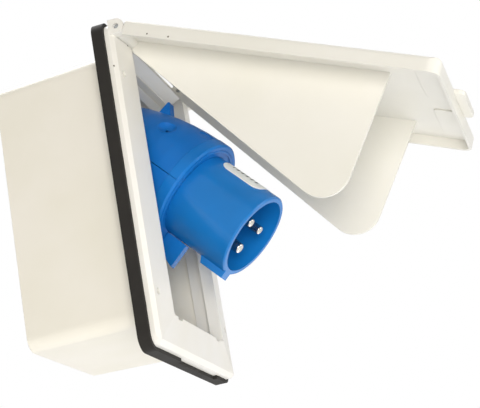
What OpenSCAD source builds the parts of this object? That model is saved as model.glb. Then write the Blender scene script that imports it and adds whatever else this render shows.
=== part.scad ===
// Flush hook-up inlet: recessed box with a lidded frame and a swing-out 16 A three-pin inlet plug.
// Millimetres. +Z is up, -Y points out of the wall, and the wall's face is the plane y = 0.
// The origin is the middle of the frame on the wall's face. The lid is drawn open, the plug swung out.

/* [Frame] */
// Width of the frame's flange
frame_w = 129.6; // [122:0.2:140]
// Height of the frame's flange
frame_h = 176; // [170:0.5:190]
// Height of the frame's side edge in front of the gasket
frame_edge = 2.5; // [1.5:0.1:3]
// Height of the frame's inner lip in front of the gasket
frame_lip = 7; // [6:0.1:8]
// Width of the bevel round the frame's outer edge
bevel_w = 2.6; // [1.5:0.1:4]
// Height gained over that bevel
bevel_h = 2; // [1:0.1:2.5]
// Width of the door opening
open_w = 85; // [84:0.2:88]
// Width of the frame above the opening
top_rail = 9; // [8:0.2:12]
// Width of the frame below the opening
bottom_rail = 18; // [17:0.2:20]
// Corner radius of the opening
open_r = 2; // [1:0.5:4]
// Wall thickness of the white mouldings
skin = 2.5; // [2:0.1:3]

/* [Mounting] */
// Distance between the screw holes across the frame
hole_dx = 115; // [114:0.2:117]
// Distance between the screw holes up the frame
hole_dz = 120; // [112:0.5:128]
// Diameter of the screw holes
hole_d = 3.6; // [3.5:0.1:4.4]

/* [Gasket] */
// Thickness of the rubber gasket
gasket_t = 6.5; // [5:0.1:8]
// How far the gasket shows round the frame
gasket_lap = 2; // [1:0.1:3]

/* [Back box] */
// Outer width of the box at its front rim
box_w = 106.5; // [104:0.5:107]
// Outer width of the box at its rear end
box_rear_w = 96; // [94:0.5:100]
// Distance from the frame's top edge down to the box
box_top_gap = 10.5; // [10:0.1:12]
// Distance from the frame's bottom edge up to the box
box_foot_gap = 15; // [14.5:0.1:16]
// Loss of the box's height from its front rim to its rear end
box_loss_h = 1.5; // [0.5:0.1:5]
// Depth of the box behind the wall's face
box_depth = 66; // [65:0.5:75]
// Corner radius of the box
box_r = 7; // [5:0.5:12]
// Thickness of the rear cover
cover_t = 2.5; // [2:0.1:4]

/* [Lid] */
// Gap between the lid's end rim and the frame's bottom edge
lid_end_gap = 0.8; // [0.5:0.1:2]
// Thickness of the lid's plate
lid_t = 2.4; // [2:0.1:2.6]
// Height of the lid's outer face above the hinge axis
lid_rise = 3; // [2.8:0.1:3.6]
// Depth of the lid's rims, outer face to free edge
rim_depth = 8.1; // [7:0.1:9]
// Thickness of the lid's rims
rim_t = 1.8; // [1.5:0.1:2]
// Gap between the lid's rims and the frame
rim_gap = 0.4; // [0.3:0.05:0.8]
// Radius of the lid's outer edges
lid_edge_r = 2; // [1:0.1:2.2]
// Radius of the lid's free corners
lid_corner_r = 7; // [4:0.5:10]
// Angle of the open lid from its closed place
lid_open = 66.5; // [55:0.5:75]
// Width of the finger tab
tab_w = 40; // [25:1:60]
// Reach of the finger tab past the lid's end
tab_reach = 5.5; // [3:0.1:8]

/* [Side cheeks] */
// Gap between each cheek and the opening's edge
cheek_gap = 1.2; // [0.8:0.1:2]
// Thickness of the cheeks
cheek_t = 2; // [1.6:0.1:2.4]
// Distance from the hinge axis to the cheek's front edge at the lid
cheek_top_u = 145.6; // [138:0.2:148]
// Distance from the hinge axis to the cheek's lower corner, along the lid
cheek_tip_u = 132.7; // [124:0.1:135]
// Depth of the cheek's lower corner, before rounding
cheek_tip_v = 78.1; // [70:0.1:79]
// Radius of the cheek's lower corner
cheek_r = 15; // [12:1:20]

/* [Hinge] */
// Height of the hinge axis in front of the wall
hinge_out = 13.3; // [13.1:0.1:14]
// Depth of the hinge axis below the frame's top edge
hinge_drop = 3; // [2:0.1:3.5]
// Radius of the ears and of the lid's barrels
ear_r = 4.2; // [4:0.1:4.2]
// Width of each ear
ear_w = 5; // [4:0.5:6]
// Diameter of the hinge pins
pin_d = 3; // [2.5:0.1:4]
// Radial running clearance of the hinges
run_gap = 0.05; // [0.02:0.01:0.1]
// End play of the hinges
end_play = 0.3; // [0.2:0.05:0.6]

/* [Inlet plug] */
// Tilt of the plug's axis below level when it is swung out
plug_tilt = 48; // [44:1:56]
// Depth of the plug's pivot below the frame's top edge
pivot_drop = 32.8; // [31:0.1:34]
// Depth of the plug's pivot behind the wall's face
pivot_in = 22.5; // [22:0.1:24]
// Distance from the plug's rim to its pivot
pivot_back = 111; // [109:0.5:112]
// Outer diameter of the shroud
shroud_d = 50; // [49:0.1:51]
// Inner diameter of the shroud
shroud_bore = 44; // [43:0.1:45]
// Depth of the shroud's cavity down to the pin face
shroud_depth = 36; // [34:0.5:37]
// Outer diameter of the clamping ring
ring_d = 65.4; // [64:0.2:66]
// Distance from the rim to the ring's front face
ring_front = 41; // [40:0.5:42]
// Width of the ring
ring_w = 7; // [7:0.5:10]
// Reach of the key rib from the shroud
key_h = 3.4; // [2:0.1:4]
// Length of the key rib
key_len = 17; // [12:1:22]
// Width of the key rib
key_w = 8; // [6:0.5:9]
// Wall thickness of the plug's shells
shell_t = 2.5; // [2:0.1:3]
// Length of the tapered part of the shells, behind the ring
shell_len = 65; // [60:0.5:65]
// Loss of radius over that length
shell_taper = 15; // [13:0.5:15]
// Reach of the top lug from the plug's axis
lug_top = 34; // [33:0.2:35.4]
// Reach of the lower gusset from the plug's axis
gusset_r = 39.8; // [36:0.2:40]
// Diameter of the plug's trunnions
trunnion_d = 10; // [8:0.5:11]

/* [Contacts] */
// Radius of the circle that the three pins stand on
pin_circle = 9.7; // [9:0.1:10]
// Diameter of the live and neutral pins
pin_small = 5; // [4.8:0.1:5.2]
// Diameter of the earth pin
pin_earth = 6; // [5.8:0.1:6.2]
// Gap between the pin tips and the shroud's rim
pin_set = 2; // [0:0.5:4]
// Radius of the rounding round each pin's tip
pin_tip_r = 1.2; // [0.5:0.1:2]
// Width of the collar that seats each pin in its carrier
pin_collar = 0.8; // [0.5:0.1:1.2]
// Diameter of the terminal barrels
barrel_d = 8.4; // [8:0.1:9]
// Length of the terminal barrels
barrel_len = 11; // [10:0.5:11]

/* [Hidden] */
$fn = 48;
eps = 0.01;
far = 300;

// frame
frame_x = frame_w / 2;
frame_z = frame_h / 2;
frame_r = 6;
frame_front = gasket_t + frame_lip;
open_top = frame_z - top_rail;
open_bottom = frame_z - bottom_rail;
edge_out = gasket_t + frame_edge;
ridge_out = edge_out + bevel_h;
mount_points = [for (sx = [-1, 1]) for (sz = [-1, 1]) [sx * hole_dx / 2, sz * hole_dz / 2]];
hole_pad_d = 8.4;
spigot_in = 2;
spigot_t = 2;
box_draft = (box_w - box_rear_w) / 2 / (box_depth + gasket_t);
spigot_gap = 0.15 + box_draft * (spigot_in + gasket_t);
rib_over = 1.5;
groove_gap = 0.35;
// small notches at the ends of the opening's lower edge
corner_notch = [7, 1.4];
corner_notch_in = 9.5;
// a lip on the frame's foot that reaches back over the gasket
foot_lip = 2;
foot_from = -20.5;
foot_to = 41.5;
foot_gap = 0.3;

// box
box_h = frame_h - box_top_gap - box_foot_gap;
box_up = (box_foot_gap - box_top_gap) / 2;
box_rear_h = box_h - box_loss_h;
throat_top = box_up + box_h / 2 - skin - spigot_gap - spigot_t;
gasket_w = frame_w + 2 * gasket_lap + 0.4;
gasket_h = frame_h + 2 * gasket_lap;
box_gap = 0.8;
rear_y = box_depth;
cover_gap = 0.3;
post_r = 4.5;
post_len = 14;
post_dx = box_rear_w / 2 - skin - post_r + 0.6;
post_dz = box_rear_h / 2 - skin - post_r + 0.6;
screw_hole_d = 3.4;
head_d = 5.6;
head_h = 2.2;
grommet_d = 22;
grommet_up = 10;
boss_r = 7.5;
boss_x = 37;
trunnion_x = 43.5;

// lid
hinge_up = frame_z - hinge_drop;
lid_len = hinge_up + frame_z + lid_end_gap + rim_t;
lid_x = frame_x + rim_gap + rim_t;
lid_out = lid_rise;
lid_in = lid_out - lid_t;
rim_free = lid_out - rim_depth;
ear_x = frame_x - 0.5;
barrel_x = ear_x - ear_w - end_play;
cheek_x = open_w / 2 - cheek_gap;
cheek_in_x = cheek_x - cheek_t;
pin_sink = 1.8;
notch_u = 6;
pad_w = 46;
pad_len = 14;
pad_t = 0.8;
tab_r = 4;

// plug
pivot_up = frame_z - pivot_drop;
// distances run back from the rim, so local z is minus that distance
ring_rear = ring_front + ring_w;
ring_step = 0.8;
flange_front = ring_front + 2;
flange_rear = flange_front + 3;
flange_r = ring_d / 2 - 3.2;
spigot_r = flange_r + 0.3;
shell_r = ring_d / 2 - 0.2;
tail = ring_rear + shell_len;
tail_wall = 3;
neck_r = 8.5;
neck_len = 8;
cord_r = 5.6;
nut_r = 11;
nut_end = 1.5;
carrier_flange = 2;
carrier_rear = flange_rear + carrier_flange;
post_hole_d = 3;
shell_posts = [[64, 22], [101, 11.5]];
shell_post_r = 3.4;
clamp_back = 84;
clamp_dx = 12;
clamp_t = 3;
rib_rear = carrier_rear + 2;
rib_r = spigot_r - shell_t - 3;
lug_front = 81;
lug_rear = 89.2;
lug_w = 7;
lug_tip = 1.8;
// shallow scoops on both sides of the lug, and a round dimple behind the ring
scoop_turn = 48;
scoop_back = 70.5;
scoop_r = 7;
scoop_deep = 2.5;
dimple_turn = 25;
dimple_back = 52.4;
dimple_r = 4;
dimple_deep = 0.8;
// gap between the two shells, which shows as a line
seam = 0.3;
seam_deep = 0.5;
screw_deep = 10;
screw_reach = 8;
gusset_t = 5;
gusset_front = 28;
pin_places = [for (turn = [-60, 60, 180]) pin_circle * [sin(turn), cos(turn)]];
grub_d = 3.5;
wire_d = 4.4;
label_turn = 34;
label_t = 0.25;
label_front = 8.5;
label_len = 27;
label_r = 5;
clamp_len = 7;
clamp_end = 4;
clamp_arch = 3;
grommet_lip = 2;
function shell_radius(back) = shell_r - shell_taper * pow((back - ring_rear) / shell_len, 2);
function unit(v) = v / norm(v);

// direction, seen from the hinge axis, of the point where a cheek's rear edge meets its barrel
cheek_tip = [cheek_tip_u, cheek_tip_v];
root_r = ear_r - 0.25;
root_turn = atan2(cheek_tip[1], cheek_tip[0]) + acos(root_r / norm(cheek_tip));
slot_len = 30;
slot_gap = 0.6;

// ---------- placing ----------
// a drawing of the front view (x, z), extruded from one distance in front of the wall to another
module front_slab(from, to) {
    translate([0, -from, 0]) rotate([90, 0, 0]) linear_extrude(to - from) children();
}
// a drawing of (y, z), extruded along x
module side_slab(from, to) {
    translate([from, 0, 0]) rotate([90, 0, 90]) linear_extrude(to - from) children();
}
// a part drawn in the lid's own axes: y runs back to the hinge, z points out of its face
module on_lid() {
    translate([0, -hinge_out, hinge_up]) rotate([90 - lid_open, 0, 0]) children();
}
// a part drawn in the plug's own axes: z runs out along the pins, y is up, the rim is z = 0
module on_plug() {
    translate([0, pivot_in, pivot_up]) rotate([90 + plug_tilt, 0, 0])
        translate([0, 0, pivot_back]) children();
}
module bar_x(radius, from, to) {
    translate([from, 0, 0]) rotate([0, 90, 0]) cylinder(r = radius, h = to - from);
}
// a bar along the plug's y axis
module bar_y(radius, from, to) {
    translate([0, from, 0]) rotate([-90, 0, 0]) cylinder(r = radius, h = to - from);
}
module rounded_rect(width, height, radius) {
    square([width - 2 * radius, height], center = true);
    square([width, height - 2 * radius], center = true);
    for (sx = [-1, 1], sy = [-1, 1])
        translate([sx * (width / 2 - radius), sy * (height / 2 - radius)]) circle(r = radius);
}

// ---------- frame ----------
// the frame's outer form: two sloping sections crossed, inside the flange's outline
module frame_mound(inset, drop) {
    x = frame_x - inset;
    z = frame_z - inset;
    intersection() {
        translate([0, 0, -far / 2]) linear_extrude(far)
            polygon([[-x, 0], [-x, drop - edge_out], [bevel_w - x, drop - ridge_out],
                     [-open_w / 2, drop - frame_front], [open_w / 2, drop - frame_front],
                     [x - bevel_w, drop - ridge_out], [x, drop - edge_out], [x, 0]]);
        side_slab(-far / 2, far / 2)
            polygon([[0, -z], [drop - edge_out, -z], [drop - ridge_out, bevel_w - z],
                     [drop - frame_front, -open_bottom], [drop - frame_front, open_top],
                     [drop - ridge_out, z - bevel_w], [drop - edge_out, z], [0, z]]);
        front_slab(drop > 0 ? 0 : gasket_t, far) rounded_rect(2 * x, 2 * z, frame_r - inset / 2);
    }
}
module opening_drawing(grow) {
    translate([0, (open_top - open_bottom) / 2])
        rounded_rect(open_w + 2 * grow, open_top + open_bottom + 2 * grow, open_r + grow);
}
module box_drawing(grow) {
    translate([0, box_up]) rounded_rect(box_w + 2 * grow, box_h + 2 * grow, box_r + grow);
}
// the door opening: straight sides, and a top that slopes down into the box
module opening() {
    intersection() {
        front_slab(-far, far) opening_drawing(0);
        side_slab(-far, far)
            polygon([[far, -open_bottom], [far, throat_top], [spigot_in, throat_top],
                     [-frame_front, open_top], [-far, open_top], [-far, -open_bottom]]);
    }
}
module frame_hollow() {
    difference() {
        frame_mound(skin, skin);
        front_slab(-far, far) opening_drawing(skin);
        front_slab(-far, far) difference() {
            box_drawing(rib_over);
            box_drawing(-skin - spigot_gap - spigot_t);
        }
        for (p = mount_points) front_slab(0, far) translate(p) circle(d = hole_pad_d);
        translate([0, -hinge_out, hinge_up]) bar_x(ear_r + groove_gap + skin, -far, far);
        cheek_slots(skin);
    }
}
// slots at the opening's upper corners, which the cheeks swing down through
module cheek_slots(grow) {
    root = (ear_r + groove_gap + grow) * [cos(root_turn), sin(root_turn)];
    low = root + slot_len * [sin(root_turn), -cos(root_turn)];
    for (side = [-1, 1])
        translate([0, -hinge_out, hinge_up])
            side_slab(side > 0 ? cheek_in_x - slot_gap - grow : -open_w / 2 - grow,
                      side > 0 ? open_w / 2 + grow : slot_gap + grow - cheek_in_x)
                polygon([for (p = [[0, -far], [0, 0], root, low, [low[0], -far]]) [p[1], -p[0]]]);
}
module ear(side) {
    translate([side * (ear_x - ear_w / 2), -hinge_out, hinge_up]) {
        bar_x(ear_r, -ear_w / 2, ear_w / 2);
        translate([-ear_w / 2, 0, -ear_r]) cube([ear_w, hinge_out - edge_out, 2 * ear_r]);
    }
}
module foot_drawing(grow) {
    translate([foot_from - grow, -frame_z - grow]) square([foot_to - foot_from + 2 * grow, skin + 2 * grow]);
}
module front_frame() {
    color("#f5f3ee") difference() {
        union() {
            frame_mound(0, 0);
            for (side = [-1, 1]) ear(side);
            front_slab(-spigot_in, gasket_t + eps) difference() {
                box_drawing(-skin - spigot_gap);
                box_drawing(-skin - spigot_gap - spigot_t);
            }
            front_slab(gasket_t - foot_lip, edge_out) foot_drawing(0);
        }
        frame_hollow();
        opening();
        for (side = [-1, 1])
            front_slab(0, far) translate([side * (open_w / 2 - corner_notch_in), -open_bottom])
                square([corner_notch[0], 2 * corner_notch[1]], center = true);
        cheek_slots(0);
        translate([0, -hinge_out, hinge_up]) {
            bar_x(ear_r + groove_gap, -barrel_x - end_play, barrel_x + end_play);
            bar_x(pin_d / 2, -frame_w, frame_w);
        }
        for (p = mount_points) front_slab(0, far) translate(p) circle(d = hole_d);
    }
}
module wall_gasket() {
    color("#3c3934") difference() {
        front_slab(0, gasket_t) difference() {
            rounded_rect(gasket_w, gasket_h, frame_r + gasket_lap);
            box_drawing(box_gap);
            for (p = mount_points) translate(p) circle(d = hole_d);
        }
        front_slab(gasket_t - foot_lip, far) union() {
            foot_drawing(foot_gap);
            translate([0, -gasket_lap]) foot_drawing(foot_gap);
        }
        cheek_slots(0);
    }
}

// ---------- back box ----------
module box_slice(y, width, height, radius) {
    translate([0, y + eps, box_up]) rotate([90, 0, 0]) linear_extrude(eps)
        rounded_rect(width, height, radius, $fn = 32);
}
module box_form(inset) {
    hull() {
        box_slice(-gasket_t, box_w - 2 * inset, box_h - 2 * inset, box_r - inset);
        box_slice(rear_y - eps, box_rear_w - 2 * inset, box_rear_h - 2 * inset, box_r - inset);
    }
}
module back_box() {
    color("#e6e2d8") difference() {
        union() {
            difference() {
                box_form(0);
                translate([0, -eps, 0]) box_form(skin);
                translate([0, 2 * eps, 0]) box_form(skin);
            }
            // what stands inside the walls
            intersection() {
                box_form(skin / 2);
                union() {
                    for (sx = [-1, 1], sz = [-1, 1])
                        translate([sx * post_dx, rear_y - cover_t - post_len, box_up + sz * post_dz])
                            bar_y(post_r, 0, post_len);
                    for (side = [-1, 1])
                        translate([0, pivot_in, pivot_up])
                            bar_x(boss_r, side > 0 ? boss_x : -far, side > 0 ? far : -boss_x);
                }
            }
        }
        for (side = [-1, 1])
            translate([0, pivot_in, pivot_up])
                bar_x(trunnion_d / 2 + run_gap, side > 0 ? 0 : -trunnion_x - end_play,
                      side > 0 ? trunnion_x + end_play : 0);
        cheek_slots(0);
        for (sx = [-1, 1], sz = [-1, 1])
            translate([sx * post_dx, rear_y - cover_t, box_up + sz * post_dz])
                bar_y(post_hole_d / 2, -screw_deep, 1);
    }
}
module rear_cover() {
    color("#e6e2d8") difference() {
        front_slab(-rear_y, cover_t - rear_y)
            translate([0, box_up])
                rounded_rect(box_rear_w - 2 * (skin + cover_gap), box_rear_h - 2 * (skin + cover_gap),
                             box_r - skin - cover_gap);
        for (sx = [-1, 1], sz = [-1, 1])
            translate([sx * post_dx, rear_y, box_up + sz * post_dz]) {
                bar_y(screw_hole_d / 2, -far, far);
                translate([0, -head_h / 2, 0]) rotate([-90, 0, 0])
                    cylinder(r1 = screw_hole_d / 2, r2 = head_d / 2, h = head_h / 2 + eps);
            }
        translate([0, rear_y, grommet_up]) bar_y(grommet_d / 2 - grommet_lip, -far, far);
    }
}
module rear_cover_screws() {
    color("#b9bcc0") for (sx = [-1, 1], sz = [-1, 1])
        translate([sx * post_dx, rear_y, box_up + sz * post_dz]) {
            bar_y(post_hole_d / 2, -cover_t - screw_reach, -head_h / 2);
            translate([0, -head_h / 2, 0]) rotate([-90, 0, 0])
                cylinder(r1 = post_hole_d / 2, r2 = head_d / 2 - 0.2, h = head_h / 2);
        }
}
module cable_grommet() {
    r = grommet_d / 2;
    lip = grommet_lip;
    color("#2e2d2b") translate([0, rear_y, grommet_up]) rotate([-90, 0, 0]) rotate_extrude()
        polygon([[0, 0.4 * lip], [r - 2 * lip, 0.4 * lip], [r - 1.5 * lip, 1.2 * lip],
                 [r - lip / 2, 1.2 * lip], [r, 0.7 * lip], [r, 0],
                 [r - lip, 0], [r - lip, -cover_t], [r, -cover_t],
                 [r - lip / 2, -cover_t - 0.7 * lip], [r - 2 * lip, -cover_t - 0.7 * lip],
                 [r - 2.5 * lip, -0.2 * lip], [0, -0.2 * lip]]);
}
module hinge_pins() {
    color("#c9ccce") translate([0, -hinge_out, hinge_up]) {
        bar_x(pin_d / 2, cheek_in_x + pin_sink, ear_x - pin_sink);
        bar_x(pin_d / 2, pin_sink - ear_x, -cheek_in_x - pin_sink);
    }
}

// ---------- lid ----------
module lid_tray() {
    difference() {
        intersection() {
            // across the lid
            rotate([90, 0, 0]) translate([0, 0, notch_u]) linear_extrude(lid_len) {
                translate([-lid_x, rim_free]) square([2 * lid_x, rim_depth - lid_edge_r]);
                translate([lid_edge_r - lid_x, 0]) square([2 * (lid_x - lid_edge_r), lid_out]);
                for (side = [-1, 1])
                    translate([side * (lid_x - lid_edge_r), lid_out - lid_edge_r]) circle(r = lid_edge_r);
            }
            // along the lid
            side_slab(-far, far) {
                translate([-lid_len, rim_free]) square([lid_len, rim_depth - lid_edge_r]);
                translate([lid_edge_r - lid_len, 0]) square([lid_len, lid_out]);
                translate([lid_edge_r - lid_len, lid_out - lid_edge_r]) circle(r = lid_edge_r);
            }
            translate([0, far / 2 - lid_len, -far / 2]) linear_extrude(far)
                rounded_rect(2 * lid_x, far, lid_corner_r);
        }
        translate([0, far / 2 - lid_len + rim_t, lid_in - far]) linear_extrude(far)
            rounded_rect(2 * (lid_x - rim_t), far, lid_corner_r - rim_t);
    }
}
// a cheek's outline as (y, z): a triangle hung from the plate, its lower corner rounded
module cheek_drawing() {
    top = [cheek_top_u, -lid_in];
    root = root_r * [cos(root_turn), sin(root_turn)];
    to_root = unit(root - cheek_tip);
    to_top = unit(top - cheek_tip);
    half_turn = acos(to_root * to_top) / 2;
    back = cheek_r / tan(half_turn);
    middle = cheek_tip + cheek_r / sin(half_turn) * unit(to_root + to_top);
    rotate(180) {
        polygon([[0, -lid_in - eps], top + [0, -eps], top, cheek_tip + back * to_top,
                 cheek_tip + back * to_root, root]);
        translate(middle) circle(r = cheek_r);
        circle(r = ear_r);
    }
}
module lid() {
    color("#eeebdf") on_lid() difference() {
        union() {
            lid_tray();
            // the plate's hinge end, between the ears
            translate([-barrel_x, -notch_u - eps, lid_in]) cube([2 * barrel_x, notch_u + 2, lid_t]);
            for (side = [-1, 1]) {
                bar_x(ear_r, side > 0 ? cheek_in_x : -barrel_x, side > 0 ? barrel_x : -cheek_in_x);
                side_slab(side > 0 ? cheek_in_x : -cheek_x, side > 0 ? cheek_x : -cheek_in_x) cheek_drawing();
                // raised pads under the free end
                translate([side * lid_x / 2, pad_len / 2 + rim_t - lid_len - eps, lid_in - pad_t])
                    linear_extrude(pad_t + eps) rounded_rect(pad_w, pad_len, 3);
            }
            // finger tab
            translate([0, -lid_len, lid_out - lid_t]) linear_extrude(lid_t)
                rounded_rect(tab_w, 2 * tab_reach, tab_r);
        }
        bar_x(pin_d / 2 + run_gap, -far, far);
    }
}

// ---------- plug ----------
module plug_shroud() {
    color("#1f6fb8") on_plug() difference() {
        union() {
            rotate_extrude() polygon([[0, -flange_rear], [flange_r, -flange_rear], [flange_r, -flange_front],
                                      [shroud_d / 2, -flange_front], [shroud_d / 2, -0.8],
                                      [shroud_d / 2 - 0.8, 0], [0, 0]]);
            // key rib under the shroud, its back end raked
            translate([-key_w / 2, 0, 0]) rotate([0, 90, 0]) linear_extrude(key_w)
                polygon([[0, 2 - shroud_d / 2], [0, -shroud_d / 2 - key_h],
                         [key_len - 2, -shroud_d / 2 - key_h], [key_len, -shroud_d / 2],
                         [key_len, 2 - shroud_d / 2]]);
        }
        translate([0, 0, -far]) cylinder(d = shroud_bore, h = 2 * far);
    }
}
module plug_clamp_ring() {
    color("#3d90dc") on_plug() difference() {
        clamp_ring_form();
        // the shells' seam runs on across the ring
        for (side = [-1, 1])
            translate([side * ring_d / 2 - seam_deep, -seam, -ring_rear - 1])
                cube([2 * seam_deep, seam, ring_w + 2]);
    }
}
module clamp_ring_form() {
    union() {
        rotate_extrude() polygon([[shroud_d / 2 + 0.15, -ring_front - ring_step],
                                  [flange_r - 2 * ring_step, -ring_front - ring_step],
                                  [flange_r - 2 * ring_step, -ring_front], [flange_r - 0.4, -ring_front],
                                  [flange_r, -ring_front - 0.5], [flange_r + 0.4, -ring_front],
                                  [ring_d / 2 - 1, -ring_front], [ring_d / 2, -ring_front - 1],
                                  [ring_d / 2, -ring_rear], [spigot_r, -ring_rear], [spigot_r, -flange_front],
                                  [shroud_d / 2 + 0.15, -flange_front]]);
        // gusset under the ring, reaching forward beside the shroud
        translate([-gusset_t / 2, 0, 0]) rotate([0, 90, 0]) linear_extrude(gusset_t)
            polygon([[gusset_front, -shroud_d / 2 - 0.4], [gusset_front, -gusset_r],
                     [ring_rear, -ring_d / 2 - 0.3],
                     [ring_rear, -spigot_r - 1], [ring_front + 0.5, -spigot_r - 1],
                     [ring_front + 0.5, -shroud_d / 2 - 0.4]]);
    }
}
// the shells' shared form, before it is split
module shell_form() {
    steps = [0 : 7];
    step = shell_len / 7;
    rotate_extrude() polygon(concat(
        [[spigot_r, -flange_rear], [spigot_r, -ring_rear]],
        [for (i = steps) [shell_radius(ring_rear + i * step), -ring_rear - i * step]],
        [[neck_r, -tail], [neck_r, -tail - neck_len], [cord_r, -tail - neck_len], [cord_r, tail_wall - tail]],
        [for (i = [6 : -1 : 1]) [shell_radius(ring_rear + i * step) - shell_t, -ring_rear - i * step]],
        [[shell_radius(rib_rear) - shell_t, -rib_rear], [rib_r, -rib_rear], [rib_r, -carrier_rear],
         [spigot_r - shell_t, -carrier_rear], [spigot_r - shell_t, -flange_rear]]));
}
module half_space(side) {
    translate([-far / 2, side > 0 ? 0 : -far / 2 - seam, -far]) cube([far, far / 2, far]);
}
module inside_shell() {
    backs = [for (i = [0 : 7]) ring_rear + i * shell_len / 7];
    rotate_extrude() polygon(concat([[0, -carrier_rear]],
        [for (back = backs) [shell_radius(back) - shell_t / 2, -back]], [[0, -tail]]));
}
module shell_post(place, from, to) {
    for (side = [-1, 1]) translate([side * place[1], 0, -place[0]]) bar_y(shell_post_r, from, to);
}
module trunnion_bars(radius, inner) {
    translate([0, 0, -pivot_back]) for (side = [-1, 1])
        bar_x(radius, side > 0 ? inner : -trunnion_x, side > 0 ? trunnion_x : -inner);
}
module plug_shell_upper() {
    color("#2068b4") on_plug() difference() {
        union() {
            intersection() {
                shell_form();
                half_space(1);
            }
            intersection() {
                inside_shell();
                for (place = shell_posts) shell_post(place, 0, far);
            }
            // top lug, raked towards the rear
            translate([-lug_w / 2, 0, 0]) rotate([0, 90, 0]) linear_extrude(lug_w)
                polygon([[lug_front, shell_radius(lug_front) - 1.5], [lug_rear - lug_tip, lug_top],
                         [lug_rear - lug_tip / 2, lug_top - 0.4], [lug_rear, shell_radius(lug_rear) - 1.5]]);
        }
        for (side = [-1, 1])
            rotate(90 + side * scoop_turn)
                translate([shell_radius(scoop_back) - scoop_deep + scoop_r, 0, -scoop_back])
                    sphere(r = scoop_r);
        rotate(dimple_turn) translate([0, 0, -dimple_back]) bar_y(dimple_r, shell_r - dimple_deep, far);
        for (place = shell_posts, side = [-1, 1])
            translate([side * place[1], 0, -place[0]]) bar_y(post_hole_d / 2, -1, screw_reach + 1);
        trunnion_bars(trunnion_d / 2 + 0.1, 0);
    }
}
module plug_shell_lower() {
    color("#2068b4") on_plug() difference() {
        union() {
            intersection() {
                shell_form();
                half_space(-1);
            }
            intersection() {
                inside_shell();
                union() {
                    for (place = shell_posts) shell_post(place, -far, 0);
                    shell_post([clamp_back, clamp_dx], -far, 0);
                }
            }
            trunnion_bars(trunnion_d / 2, 14);
        }
        for (place = shell_posts, side = [-1, 1])
            translate([side * place[1], 0, -place[0]]) {
                bar_y(screw_hole_d / 2, -far, 1);
                bar_y(head_d / 2 + 0.3, -far, -screw_deep);
            }
        for (side = [-1, 1])
            translate([side * clamp_dx, 0, -clamp_back]) bar_y(post_hole_d / 2, -screw_reach - 1, 1);
    }
}
module plug_shell_screws() {
    color("#b9bcc0") on_plug() for (place = shell_posts, side = [-1, 1])
        translate([side * place[1], 0, -place[0]]) {
            bar_y(post_hole_d / 2, -screw_deep - eps, screw_reach);
            bar_y(head_d / 2, -screw_deep - head_h, -screw_deep);
        }
}
module pin_carrier() {
    color("#1b5da6") on_plug() difference() {
        union() {
            translate([0, 0, -carrier_rear]) cylinder(d = shroud_bore, h = carrier_rear - shroud_depth);
            translate([0, 0, -carrier_rear]) cylinder(r = spigot_r - shell_t - 1, h = carrier_flange);
        }
        for (i = [0 : 2])
            translate([pin_places[i][0], pin_places[i][1], -far])
                cylinder(d = (i == 2 ? pin_earth : pin_small) + 2 * pin_collar, h = 2 * far);
    }
}
module contact(i, d) {
    barrel_rear = carrier_rear + barrel_len;
    tip = [for (turn = [0 : 15 : 90]) pin_tip_r * [sin(turn) - 1, cos(turn) - 1] + [d / 2, -pin_set]];
    color("#d9dadb") on_plug() difference() {
        translate([pin_places[i][0], pin_places[i][1], 0]) rotate_extrude()
            polygon(concat([[0, -pin_set]], tip, [[d / 2, -shroud_depth], [d / 2 + pin_collar, -shroud_depth],
                [d / 2 + pin_collar, -carrier_rear], [barrel_d / 2, -carrier_rear],
                [barrel_d / 2, -barrel_rear], [0, -barrel_rear]]));
        translate([pin_places[i][0], pin_places[i][1], -barrel_rear - 1])
            cylinder(d = wire_d, h = barrel_len - 1);
        translate([0, 0, -carrier_rear - barrel_len / 2])
            rotate([-90, 0, -atan2(pin_places[i][0], pin_places[i][1])])
                cylinder(d = grub_d, h = 2 * pin_circle);
    }
}
module live_pin() contact(0, pin_small);
module neutral_pin() contact(1, pin_small);
module earth_pin() contact(2, pin_earth);
module terminal_screws() {
    color("#b9bcc0") on_plug() for (p = pin_places)
        translate([0, 0, -carrier_rear - barrel_len / 2]) rotate([-90, 0, -atan2(p[0], p[1])])
            translate([0, 0, pin_circle + 1.5]) difference() {
                cylinder(d = grub_d, h = 4);
                translate([-far, -0.4, 3]) cube([2 * far, 0.8, 2]);
            }
}
module cord_clamp() {
    color("#1b5da6") on_plug() difference() {
        translate([-clamp_dx - clamp_end, 0, -clamp_back - clamp_len / 2])
            cube([2 * (clamp_dx + clamp_end), clamp_t + clamp_arch, clamp_len]);
        for (side = [-1, 1]) {
            translate([side * clamp_dx, 0, -clamp_back]) bar_y(screw_hole_d / 2, -1, far);
            translate([side * (clamp_dx + 0.5) - 5, clamp_t, -clamp_back - clamp_len])
                cube([10, 10, 2 * clamp_len]);
        }
        translate([0, -1, -far]) cylinder(r = cord_r - 0.6, h = 2 * far);
    }
}
module cord_clamp_screws() {
    color("#b9bcc0") on_plug() for (side = [-1, 1])
        translate([side * clamp_dx, 0, -clamp_back]) {
            bar_y(post_hole_d / 2, -screw_reach, clamp_t + eps);
            bar_y(head_d / 2, clamp_t, clamp_t + head_h);
        }
}
module plug_gland_nut() {
    nut_len = neck_len + nut_end;
    color("#2068b4") on_plug() difference() {
        translate([0, 0, -tail - nut_len]) cylinder(r = nut_r, h = nut_len);
        translate([0, 0, -tail - neck_len]) cylinder(r = neck_r, h = far);
        translate([0, 0, -far]) cylinder(r = cord_r, h = far);
        for (i = [0 : 11])
            rotate(30 * i) translate([nut_r + 0.6, 0, -tail - nut_len - 1])
                cylinder(r = 1.3, h = nut_len - 1, $fn = 16);
    }
}
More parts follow.
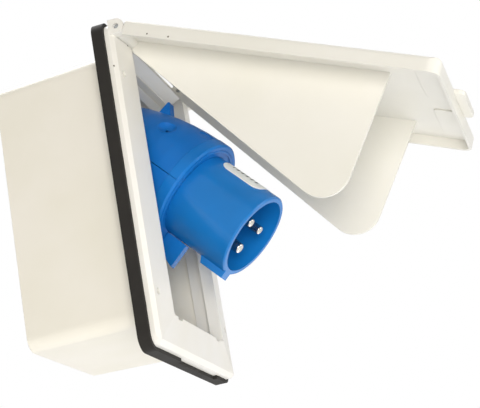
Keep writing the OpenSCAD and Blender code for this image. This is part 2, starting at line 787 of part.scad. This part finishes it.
module shroud_label() {
    color("#f2f3f2") on_plug() intersection() {
        difference() {
            translate([0, 0, -far]) cylinder(r = shroud_d / 2 + label_t, h = far);
            translate([0, 0, -far - 1]) cylinder(r = shroud_d / 2, h = far + 2);
        }
        translate([0, 0, -label_front - label_len / 2]) rotate([-90, 0, 0]) linear_extrude(far)
            rounded_rect(shroud_d * sin(label_turn), label_len, label_r);
    }
}

front_frame();
wall_gasket();
back_box();
rear_cover();
rear_cover_screws();
cable_grommet();
hinge_pins();
lid();
plug_shroud();
plug_clamp_ring();
plug_shell_upper();
plug_shell_lower();
plug_shell_screws();
pin_carrier();
live_pin();
neutral_pin();
earth_pin();
terminal_screws();
cord_clamp();
cord_clamp_screws();
plug_gland_nut();
shroud_label();
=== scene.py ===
"""Finish of a flush hook-up inlet: moulded white case, rubber gasket, blue inlet plug and plated contacts."""

import math

import bpy
from bpy.props import FloatProperty, FloatVectorProperty, PointerProperty
from mathutils import Matrix, Vector


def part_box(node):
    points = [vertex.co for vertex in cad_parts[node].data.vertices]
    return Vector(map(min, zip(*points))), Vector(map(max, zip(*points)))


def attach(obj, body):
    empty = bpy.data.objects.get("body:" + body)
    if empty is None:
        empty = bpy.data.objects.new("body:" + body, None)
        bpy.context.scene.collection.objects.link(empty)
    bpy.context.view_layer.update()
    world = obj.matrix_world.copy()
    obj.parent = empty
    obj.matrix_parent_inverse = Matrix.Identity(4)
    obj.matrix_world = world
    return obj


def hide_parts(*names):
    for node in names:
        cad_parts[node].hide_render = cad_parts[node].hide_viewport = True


bl_info = {
    "name": "Hook-up inlet finish",
    "version": (1, 0, 0),
    "blender": (4, 5, 0),
    "location": "View3D > Sidebar > Inlet",
    "description": "Materials, screws and small mouldings of a flush hook-up inlet, with its studio",
    "category": "Object",
}

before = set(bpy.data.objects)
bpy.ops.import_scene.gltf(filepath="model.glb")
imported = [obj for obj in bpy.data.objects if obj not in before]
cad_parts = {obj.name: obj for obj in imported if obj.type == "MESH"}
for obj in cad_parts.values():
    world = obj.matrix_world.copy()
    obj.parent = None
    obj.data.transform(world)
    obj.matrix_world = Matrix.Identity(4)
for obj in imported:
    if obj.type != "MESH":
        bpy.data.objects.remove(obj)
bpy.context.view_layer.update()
MM = 0.001
# the plug at rest: its pivot (y, z), how far it leans below level, and its length ahead of the pivot, in mm
PLUG_PIVOT = (22.5, 55.2)
PLUG_LEAN = 48
PLUG_LONG = 111
# the shell's screws: how far behind the plug's mouth, and how far to each side, in mm
SHELL_SCREWS = ((64, 22), (101, 11.5))
# small dark specks on the frame and on the lid's rim: place and radius, in mm; the two on the frame's front
# and those on the lid are dirt, the third frame speck is a dark dot on the frame's side band
FRAME_SPECKS = ((-46.7, -13, 80.3, 0.5), (-47.5, -12.8, 80.2, 0.45), (-64.6, -9.2, 62.7, 0.5))
LID_SPECKS = ((-67, -30.4, 74, 0.45), (-67, -41.4, 69, 0.5))
# the label's rules: half their pitch, the blank part of it, their ends to each side, and half the ruled
# height, in mm
RULE_PITCH = 1.6
RULE_BLANK = 0.8
RULE_ENDS = (-8, 7)
RULED_HALF = 9
# where a colour's soft patches begin and end on the noise
PATCHES = (0.35, 0.7)
# an angle above which an edge is kept sharp, and one above which it is bevelled, in degrees
SHARP = 35
BEVELLED = 50

# each lamp aims at the origin: name, place, diameter, power in watts, tint
LAMPS = (
    ("key", (-1.4, -0.45, -0.2), 0.7, 13.3, (1, 0.965, 0.9)),
    ("lower right", (0.55, -0.1, -0.55), 0.8, 1.7, (1, 0.99, 0.98)),
    ("below", (-0.3, -0.25, -0.58), 1.0, 1, (1, 1, 1)),
    ("front", (-0.1, -1.6, 0), 1.0, 6.8, (1, 1, 1)),
    ("overhead", (0.5, 0.7, 2.4), 1.6, 48, (1, 1, 1)),
    ("behind", (1.1, 1.9, 0.5), 1.2, 14, (1, 1, 1)),
)
SKY_TINT = (1, 0.97, 0.92)
SKY_STRENGTH = 0.15
FLOOR_SIZE = 6
FLOOR_HEIGHT = -0.9
CAMERA_PLACE = (-0.70726, -0.215, -0.24196)
CAMERA_RIGHT = (0.2804, -0.9447, -0.17)
CAMERA_AHEAD = (0.92593, 0.21952, 0.30736)
CAMERA_LENS = 105


def linear(hex_colour):
    """Linear RGB of an sRGB hex colour."""
    channels = [int(hex_colour[i : i + 2], 16) / 255 for i in (1, 3, 5)]
    return tuple(c / 12.92 if c <= 0.04045 else ((c + 0.055) / 1.055) ** 2.4 for c in channels)


def colour(name, description, hex_colour):
    return FloatVectorProperty(
        name=name, description=description, subtype="COLOR", size=3, min=0, max=1, default=linear(hex_colour)
    )


def length(name, description, millimetres):
    return FloatProperty(
        name=name, description=description, subtype="DISTANCE", unit="LENGTH", min=0, default=millimetres * MM
    )


# ---------- settings ----------
class InletColours(bpy.types.PropertyGroup):
    case_white: colour("Case", "White of the frame, the box and its cover", "#f3f1ec")
    case_warm: colour("Case, aged", "Slightly yellowed white in the case's broad patches", "#efece3")
    # painted light: the box's white and its patch white are set above the white that matches its outside, so
    # that its shaded inside renders lighter
    box_white_lifted_as_painted_light: colour("Box", "Warm white of the recess box", "#f5f1e7")
    box_aged_lifted_as_painted_light: colour("Box, aged", "Slightly yellowed white in the box's broad patches", "#f1ede0")
    lid_white: colour("Lid", "White of the lid and its cheeks", "#ebe9e2")
    lid_warm: colour("Lid, aged", "Slightly yellowed white in the lid's broad patches", "#e8e6dd")
    speck: colour("Dirt", "Brown grey of the specks of dirt", "#6f675c")
    rubber: colour("Gasket", "Black of the rubber", "#2a2826")
    rubber_dust: colour("Gasket dust", "Grey bloom on the rubber", "#302e2b")
    plug_blue: colour("Plug", "Blue of the shroud", "#1678c6")
    shell_blue: colour("Shells", "Blue of the plug's body", "#1772c8")
    ring_blue: colour("Ring", "Blue of the clamping ring", "#1777ca")
    carrier_blue: colour("Carrier", "Dark blue of the insulating parts", "#164f94")
    nickel: colour("Contacts", "Nickel plating of the contacts", "#d6d3cc")
    zinc: colour("Screws", "Zinc plating of the screws", "#b9bcc0")
    film: colour("Label", "Film of the bare label", "#eef0ee")
    ink: colour("Label rules", "Grey of the label's plain rules", "#3b3e42")


class InletSizes(bpy.types.PropertyGroup):
    cover_head: length("Cover screw head", "Diameter of the rear cover's screw heads", 5.2)
    cover_head_high: length("Cover screw head height", "Height of the rear cover's screw heads", 1.1)
    shell_head: length("Shell screw head", "Diameter of the plug's screw heads", 5.6)
    shell_head_high: length("Shell screw head height", "Height of the plug's screw heads", 2.2)
    shell_head_deep: length("Shell screw depth", "Distance of the head's seat from the parting plane", 10)
    shell_screw: length("Shell screw length", "Length of the plug's screws with their heads", 20.2)
    shank: length("Shank", "Diameter of every screw's shank", 3)
    recess: length("Cross recess", "Width of a screw's cross recess", 2.8)
    recess_deep: length("Recess depth", "Depth of a screw's cross recess", 1.2)
    mould_edge: length("Mould edge", "Rounding of every moulded edge", 0.4)
    edge_round: length("Edge radius", "Rounding of the screw heads' edges", 0.12)


def colours():
    return bpy.context.scene.inlet_colours


def sizes():
    return bpy.context.scene.inlet_sizes


# ---------- materials ----------
def add(tree, kind, settings=None, **inputs):
    """Adds a node, with its settings and with its inputs set or linked."""
    made = tree.nodes.new("ShaderNode" + kind)
    for key, value in (settings or {}).items():
        setattr(made, key, value)
    for key, value in inputs.items():
        socket = made.inputs[int(key[1:])] if key[0] == "_" else made.inputs[key.replace("_", " ")]
        if isinstance(value, bpy.types.NodeSocket):
            tree.links.new(value, socket)
        else:
            socket.default_value = value
    return made


def begin(name):
    """A new material, its node tree, its shader and the object's own coordinates."""
    material = bpy.data.materials.new(name)
    material.use_nodes = True
    tree = material.node_tree
    shader = tree.nodes["Principled BSDF"]
    place = add(tree, "TexCoord").outputs["Object"]
    return material, tree, shader, place


def background_ray(tree):
    """1 for a ray that shows the background: from the camera, off a gloss or through glass."""
    ray = add(tree, "LightPath").outputs
    seen = add(tree, "Math", {"operation": "MAXIMUM"}, _0=ray["Is Glossy Ray"], _1=ray["Is Transmission Ray"])
    seen = add(tree, "Math", {"operation": "MAXIMUM"}, _0=ray["Is Camera Ray"], _1=seen.outputs["Value"])
    return seen.outputs["Value"]


def rgba(value):
    return (*value, 1.0)


def mottle(tree, place, first, second, scale, detail=3.0):
    """First and second colour in soft patches."""
    patches = add(tree, "TexNoise", Vector=place, Scale=scale, Detail=detail)
    ramp = add(tree, "ValToRGB", Fac=patches.outputs["Fac"])
    ramp.color_ramp.elements[0].position = PATCHES[0]
    ramp.color_ramp.elements[0].color = rgba(first)
    ramp.color_ramp.elements[1].position = PATCHES[1]
    ramp.color_ramp.elements[1].color = rgba(second)
    return ramp.outputs["Color"]


def grain(tree, place, shader, scale, height, smooth, rough):
    """A moulded grain: its bump, and a roughness that follows it."""
    dots = add(tree, "TexNoise", Vector=place, Scale=scale, Detail=2.0)
    edge = add(tree, "Bevel", {"samples": 6}, Radius=sizes().mould_edge)
    normal = edge.outputs["Normal"]
    bump = add(tree, "Bump", Strength=0.35, Distance=height, Height=dots.outputs["Fac"], Normal=normal)
    tree.links.new(bump.outputs["Normal"], shader.inputs["Normal"])
    wide = add(tree, "TexNoise", Vector=place, Scale=scale / 12, Detail=2.0)
    spread = add(tree, "MapRange", Value=wide.outputs["Fac"], To_Min=smooth, To_Max=rough)
    tree.links.new(spread.outputs["Result"], shader.inputs["Roughness"])


def specked(tree, place, base, specks):
    """The base colour with small dark specks, each a place and a radius in mm."""
    dirt = rgba(colours().speck)
    for *centre, radius in specks:
        away = add(tree, "VectorMath", {"operation": "DISTANCE"}, _0=place, _1=[v * MM for v in centre])
        inside = add(tree, "Math", {"operation": "LESS_THAN"}, _0=away.outputs["Value"], _1=radius * MM)
        blend = add(tree, "Mix", {"data_type": "RGBA"}, Factor=inside.outputs["Value"], _6=base, _7=dirt)
        base = blend.outputs[2]
    return base


def moulded_abs(name, first, second, smooth, rough, specks=()):
    # ABS from a spark-eroded mould: an even satin white with a grain of about 0.4 mm, drawn at 0.8 mm to show
    material, tree, shader, place = begin(name)
    white = mottle(tree, place, first, second, 1 / (45 * MM))
    tree.links.new(specked(tree, place, white, specks), shader.inputs["Base Color"])
    grain(tree, place, shader, 1 / (0.8 * MM), 0.03 * MM, smooth, rough)
    shader.inputs["IOR"].default_value = 1.53
    return material


def moulded_rubber():
    # EPDM, compression moulded: black going grey where it has bloomed, nearly no gloss
    material, tree, shader, place = begin("EPDM rubber, moulded")
    c = colours()
    black = mottle(tree, place, c.rubber, c.rubber_dust, 1 / (14 * MM), 6.0)
    tree.links.new(black, shader.inputs["Base Color"])
    grain(tree, place, shader, 1 / (1.2 * MM), 0.08 * MM, 0.6, 0.8)
    shader.inputs["IOR"].default_value = 1.52
    # lowered from the usual 0.5 to match the object, which mirrors hardly anything
    shader.inputs["Specular IOR Level"].default_value = 0.15
    return material


def moulded_nylon(name, base, smooth, rough, gloss=0.2):
    # dyed polyamide from a polished mould: deep even blue under a soft gloss, faint flow patches
    material, tree, shader, place = begin(name)
    deep = tuple(v * 0.9 for v in base)
    tree.links.new(mottle(tree, place, base, deep, 1 / (20 * MM)), shader.inputs["Base Color"])
    grain(tree, place, shader, 1 / (0.7 * MM), 0.02 * MM, smooth, rough)
    shader.inputs["IOR"].default_value = 1.53
    # lowered from the usual 0.5 to match the object, which mirrors little of a white surround
    shader.inputs["Specular IOR Level"].default_value = gloss
    return material


def plated(name, base, scratch, smooth, rough):
    # plating over turned metal: bright, with fine turning lines
    material, tree, shader, place = begin(name)
    dark = tuple(v * 0.8 for v in base)
    tree.links.new(mottle(tree, place, base, dark, 1 / (3 * MM)), shader.inputs["Base Color"])
    grain(tree, place, shader, 1 / (scratch * MM), 0.01 * MM, smooth, rough)
    shader.inputs["Metallic"].default_value = 1.0
    return material


def bare_film():
    # white polyester film with plain grey rules, and no words
    material, tree, shader, place = begin("Polyester film, printed")
    c = colours()
    low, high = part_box("shroud_label")
    lean = math.radians(PLUG_LEAN)
    axis = Vector((0, -math.cos(lean), -math.sin(lean)))
    centre = (Vector(low) + Vector(high)) / 2
    along = add(tree, "VectorMath", {"operation": "DOT_PRODUCT"}, _0=place, _1=axis)
    start = centre.dot(axis)
    across = add(tree, "SeparateXYZ", Vector=place).outputs["X"]

    def step(value, edge, greater=True):
        kind = "GREATER_THAN" if greater else "LESS_THAN"
        return add(tree, "Math", {"operation": kind}, _0=value, _1=edge).outputs["Value"]

    def both(a, b):
        return add(tree, "Math", {"operation": "MULTIPLY"}, _0=a, _1=b).outputs["Value"]

    height = along.outputs["Value"]
    wave = add(tree, "Math", {"operation": "PINGPONG"}, _0=height, _1=RULE_PITCH * MM).outputs["Value"]
    left, right = RULE_ENDS
    rules = both(step(wave, RULE_BLANK * MM), both(step(across, left * MM), step(across, right * MM, False)))
    half = RULED_HALF * MM
    inside = both(step(height, start - half), step(height, start + half, False))
    mask = both(rules, inside)
    blend = add(tree, "Mix", {"data_type": "RGBA"}, Factor=mask, _6=rgba(c.film), _7=rgba(c.ink))
    tree.links.new(blend.outputs[2], shader.inputs["Base Color"])
    shader.inputs["Roughness"].default_value = 0.35
    return material


def dress(node, material):
    """Gives every slot of a node this finish."""
    mesh_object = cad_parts[node]
    if not mesh_object.material_slots:
        mesh_object.data.materials.append(material)
    for held in mesh_object.material_slots:
        held.material = material


# ---------- modelling ----------
def alone():
    if bpy.context.object and bpy.context.object.mode != "OBJECT":
        bpy.ops.object.mode_set(mode="OBJECT")
    bpy.ops.object.select_all(action="DESELECT")


def settle(piece, name, material, body):
    """Names a finished piece, puts its place into its mesh, and lets it ride on its body."""
    alone()
    piece.select_set(True)
    bpy.context.view_layer.objects.active = piece
    bpy.ops.object.transform_apply(location=True, rotation=True, scale=True)
    piece.name = name
    piece.data.name = name
    piece.data.materials.clear()
    piece.data.materials.append(material)
    bpy.ops.object.shade_smooth_by_angle(angle=math.radians(SHARP))
    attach(piece, body)
    return piece


def apply(piece, kind, **settings):
    """Adds a modifier to the active piece and applies it."""
    modifier = piece.modifiers.new(kind.title(), kind)
    for key, value in settings.items():
        setattr(modifier, key, value)
    bpy.context.view_layer.objects.active = piece
    bpy.ops.object.modifier_apply(modifier=modifier.name)


def pick(piece, test):
    """Opens a piece for editing with the faces that pass the test selected, and no others."""
    alone()
    piece.select_set(True)
    bpy.context.view_layer.objects.active = piece
    bpy.ops.object.mode_set(mode="EDIT")
    bpy.ops.mesh.select_mode(type="FACE")
    bpy.ops.mesh.select_all(action="DESELECT")
    bpy.ops.object.mode_set(mode="OBJECT")
    for face in piece.data.polygons:
        face.select = test(face)
    bpy.ops.object.mode_set(mode="EDIT")


def cross_screw(head, head_high, shank, long, tapered):
    """A screw with a cross recess, its head's face at z = 0 and looking along +Z."""
    s = sizes()
    alone()
    under = shank * 1.1 if tapered else head
    bpy.ops.mesh.primitive_cone_add(
        vertices=40, radius1=under / 2, radius2=head / 2, depth=head_high, location=(0, 0, -head_high / 2)
    )
    body = bpy.context.object
    bpy.ops.object.transform_apply(location=True, rotation=True, scale=True)
    pick(body, lambda face: face.normal.z < -0.9)
    bpy.ops.mesh.inset(thickness=(under - shank) / 2)
    bpy.ops.mesh.extrude_region_move(TRANSFORM_OT_translate={"value": (0, 0, head_high + shank / 2 - long)})
    bpy.ops.mesh.extrude_region_move(TRANSFORM_OT_translate={"value": (0, 0, -shank / 2)})
    bpy.ops.transform.resize(value=(0.4, 0.4, 1))
    bpy.ops.object.mode_set(mode="OBJECT")
    bevelled = math.radians(BEVELLED)
    apply(body, "BEVEL", width=s.edge_round, segments=2, limit_method="ANGLE", angle_limit=bevelled)
    for turn in (0, 90):
        alone()
        bpy.ops.mesh.primitive_cube_add(size=1)
        cutter = bpy.context.object
        cutter.scale = (s.recess, s.recess * 0.26, s.recess_deep * 2)
        cutter.rotation_euler = (0, 0, math.radians(turn))
        bpy.ops.object.transform_apply(location=True, rotation=True, scale=True)
        pick(cutter, lambda face: face.normal.z < -0.5)
        bpy.ops.transform.resize(value=(0.45, 0.45, 1))
        bpy.ops.object.mode_set(mode="OBJECT")
        apply(body, "BOOLEAN", operation="DIFFERENCE", object=cutter, solver="EXACT")
        bpy.data.objects.remove(cutter)
    return body


def join(pieces):
    """One piece made of several."""
    alone()
    for piece in pieces:
        piece.select_set(True)
    bpy.context.view_layer.objects.active = pieces[0]
    bpy.ops.object.join()
    return bpy.context.object


def on_plug(x, y, back):
    """A place beside the plug's axis, that far behind its mouth, turned as the plug is."""
    pivot = Matrix.Translation((0, PLUG_PIVOT[0] * MM, PLUG_PIVOT[1] * MM))
    turned = Matrix.Rotation(math.radians(90 + PLUG_LEAN), 4, "X")
    return pivot @ turned @ Matrix.Translation((x * MM, y * MM, (PLUG_LONG - back) * MM))


def copy_to(piece, turned):
    """A copy with its own mesh, moved by a matrix."""
    twin = piece.copy()
    twin.data = piece.data.copy()
    bpy.context.collection.objects.link(twin)
    twin.data.transform(turned)
    return twin


# ---------- operators ----------
class INLET_OT_case(bpy.types.Operator):
    """Finish the frame, the box and the rear cover"""

    bl_idname = "inlet.case"
    bl_label = "Case"

    def execute(self, context):
        c = colours()
        white = moulded_abs("ABS, moulded, case white", c.case_white, c.case_warm, 0.34, 0.44, FRAME_SPECKS)
        for node in ("front_frame", "rear_cover"):
            dress(node, white)
        # painted light: the box's whites are raised above its true white, standing in for light inside the
        # box
        dress("back_box", moulded_abs("ABS, moulded, box white lifted as painted light", c.box_white_lifted_as_painted_light, c.box_aged_lifted_as_painted_light, 0.36, 0.46))
        rubber = moulded_rubber()
        for node in ("wall_gasket", "cable_grommet"):
            dress(node, rubber)
        return {"FINISHED"}


class INLET_OT_lid(bpy.types.Operator):
    """Finish the lid and its hinge pins"""

    bl_idname = "inlet.lid"
    bl_label = "Lid"

    def execute(self, context):
        c = colours()
        dress("lid", moulded_abs("ABS, moulded, lid white", c.lid_white, c.lid_warm, 0.36, 0.46, LID_SPECKS))
        dress("hinge_pins", plated("Steel, zinc plated, drawn", c.zinc, 0.5, 0.3, 0.45))
        return {"FINISHED"}


class INLET_OT_plug(bpy.types.Operator):
    """Finish the plug's mouldings"""

    bl_idname = "inlet.plug"
    bl_label = "Plug"

    def execute(self, context):
        c = colours()
        dress("plug_shroud", moulded_nylon("Polyamide, moulded, shroud blue", c.plug_blue, 0.18, 0.28, 0.3))
        shell = moulded_nylon("Polyamide, moulded, shell blue", c.shell_blue, 0.28, 0.4)
        for node in ("plug_shell_upper", "plug_shell_lower", "plug_gland_nut"):
            dress(node, shell)
        dress("plug_clamp_ring", moulded_nylon("Polyamide, moulded, ring blue", c.ring_blue, 0.2, 0.3))
        carrier = moulded_nylon("Polyamide, moulded, carrier blue", c.carrier_blue, 0.35, 0.5)
        for node in ("pin_carrier", "cord_clamp"):
            dress(node, carrier)
        dress("shroud_label", bare_film())
        return {"FINISHED"}


class INLET_OT_contacts(bpy.types.Operator):
    """Finish the contacts and the screws inside the plug"""

    bl_idname = "inlet.contacts"
    bl_label = "Contacts"

    def execute(self, context):
        c = colours()
        nickel = plated("Brass, turned, nickel plated", c.nickel, 0.3, 0.16, 0.28)
        for node in ("live_pin", "neutral_pin", "earth_pin"):
            dress(node, nickel)
        zinc = plated("Steel, zinc plated, rolled thread", c.zinc, 0.4, 0.3, 0.45)
        for node in ("terminal_screws", "cord_clamp_screws"):
            dress(node, zinc)
        return {"FINISHED"}


class INLET_OT_screws(bpy.types.Operator):
    """Model the cross-recessed screws of the rear cover and of the plug's shells"""

    bl_idname = "inlet.screws"
    bl_label = "Screws"

    def execute(self, context):
        s = sizes()
        zinc = plated("Steel, zinc plated, cold headed", colours().zinc, 0.4, 0.26, 0.4)
        low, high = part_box("rear_cover_screws")
        first = cross_screw(s.cover_head, s.cover_head_high, s.shank, high[1] - low[1], True)
        outward = Matrix.Rotation(math.radians(-90), 4, "X")
        edge = s.cover_head / 2
        pieces = [
            copy_to(first, Matrix.Translation((x, high[1], z)) @ outward)
            for x in (low[0] + edge, high[0] - edge)
            for z in (low[2] + edge, high[2] - edge)
        ]
        bpy.data.objects.remove(first)
        joined = settle(join(pieces), "rear_cover_cross_screws", zinc, "housing")
        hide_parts("rear_cover_screws")

        first = cross_screw(s.shell_head, s.shell_head_high, s.shank, s.shell_screw, False)
        outward = Matrix.Rotation(math.radians(90), 4, "X")
        face = -(s.shell_head_deep + s.shell_head_high) / MM
        pieces = [
            copy_to(first, on_plug(side * across, face, back) @ outward)
            for back, across in SHELL_SCREWS
            for side in (-1, 1)
        ]
        bpy.data.objects.remove(first)
        joined = settle(join(pieces), "plug_shell_cross_screws", zinc, "inlet")
        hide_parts("plug_shell_screws")
        return {"FINISHED"}


class INLET_OT_stage(bpy.types.Operator):
    """Set the floor, the soft lights and the camera"""

    bl_idname = "inlet.stage"
    bl_label = "Studio"

    def execute(self, context):
        alone()
        bpy.ops.mesh.primitive_plane_add(size=FLOOR_SIZE, location=(0, 0, FLOOR_HEIGHT))
        floor = bpy.context.object
        floor.name = "floor"
        material, tree, shader, place = begin("Paper, matt white")
        tree.links.new(mottle(tree, place, (0.9,) * 3, (0.93,) * 3, 3.0), shader.inputs["Base Color"])
        shader.inputs["Roughness"].default_value = 0.9
        # the paper runs out into the white background, and keeps half of any shadow that falls on it
        pale = add(tree, "Emission", Color=(1, 1, 1, 1), Strength=1.0)
        half = add(tree, "Math", {"operation": "MULTIPLY"}, _0=background_ray(tree), _1=0.5)
        lit, plain = shader.outputs["BSDF"], pale.outputs["Emission"]
        paper = add(tree, "MixShader", _0=half.outputs["Value"], _1=lit, _2=plain)
        tree.links.new(paper.outputs["Shader"], tree.nodes["Material Output"].inputs["Surface"])
        floor.data.materials.append(material)

        for name, place, size, power, tint in LAMPS:
            data = bpy.data.lights.new(name, "AREA")
            data.shape = "DISK"
            data.size = size
            data.energy = power
            data.color = tint
            light = bpy.data.objects.new(name, data)
            context.collection.objects.link(light)
            light.location = place
            light.rotation_euler = (-Vector(place)).to_track_quat("-Z", "Y").to_euler()

        world = bpy.data.worlds.new("studio")
        context.scene.world = world
        world.use_nodes = True
        tree = world.node_tree
        plain = tree.nodes["Background"]
        plain.inputs["Color"].default_value = rgba(SKY_TINT)
        plain.inputs["Strength"].default_value = SKY_STRENGTH
        white = add(tree, "Background", Color=(1, 1, 1, 1), Strength=1.0)
        seen = background_ray(tree)
        mixed = add(
            tree, "MixShader", _0=seen, _1=plain.outputs["Background"], _2=white.outputs["Background"]
        )
        tree.links.new(mixed.outputs["Shader"], tree.nodes["World Output"].inputs["Surface"])

        data = bpy.data.cameras.new("camera")
        data.sensor_width = 36
        data.lens = CAMERA_LENS
        data.clip_start = 0.01
        camera = bpy.data.objects.new("camera", data)
        context.collection.objects.link(camera)
        right = Vector(CAMERA_RIGHT).normalized()
        ahead = Vector(CAMERA_AHEAD)
        ahead = (ahead - ahead.dot(right) * right).normalized()
        up = right.cross(ahead)
        camera.matrix_world = Matrix.Translation(CAMERA_PLACE) @ Matrix(
            (right, up, -ahead)
        ).transposed().to_4x4()
        context.scene.camera = camera
        context.scene.view_settings.view_transform = "Standard"
        return {"FINISHED"}


class INLET_PT_panel(bpy.types.Panel):
    """Sizes and colours of the inlet, and a button for each group of pieces"""

    bl_label = "Hook-up inlet"
    bl_idname = "INLET_PT_panel"
    bl_space_type = "VIEW_3D"
    bl_region_type = "UI"
    bl_category = "Inlet"

    def draw(self, context):
        for group in (context.scene.inlet_sizes, context.scene.inlet_colours):
            box = self.layout.box()
            for key in group.__annotations__:
                box.prop(group, key)
        for operator in OPERATORS:
            self.layout.operator(operator.bl_idname)


OPERATORS = (INLET_OT_stage, INLET_OT_case, INLET_OT_lid, INLET_OT_plug, INLET_OT_contacts, INLET_OT_screws)
CLASSES = (InletColours, InletSizes, *OPERATORS, INLET_PT_panel)


def register():
    for cls in CLASSES:
        bpy.utils.register_class(cls)
    bpy.types.Scene.inlet_colours = PointerProperty(type=InletColours)
    bpy.types.Scene.inlet_sizes = PointerProperty(type=InletSizes)


def unregister():
    del bpy.types.Scene.inlet_sizes
    del bpy.types.Scene.inlet_colours
    for cls in reversed(CLASSES):
        bpy.utils.unregister_class(cls)


def main():
    register()
    bpy.ops.inlet.stage()
    bpy.ops.inlet.case()
    bpy.ops.inlet.lid()
    bpy.ops.inlet.plug()
    bpy.ops.inlet.contacts()
    bpy.ops.inlet.screws()


if __name__ == "__main__":
    main()
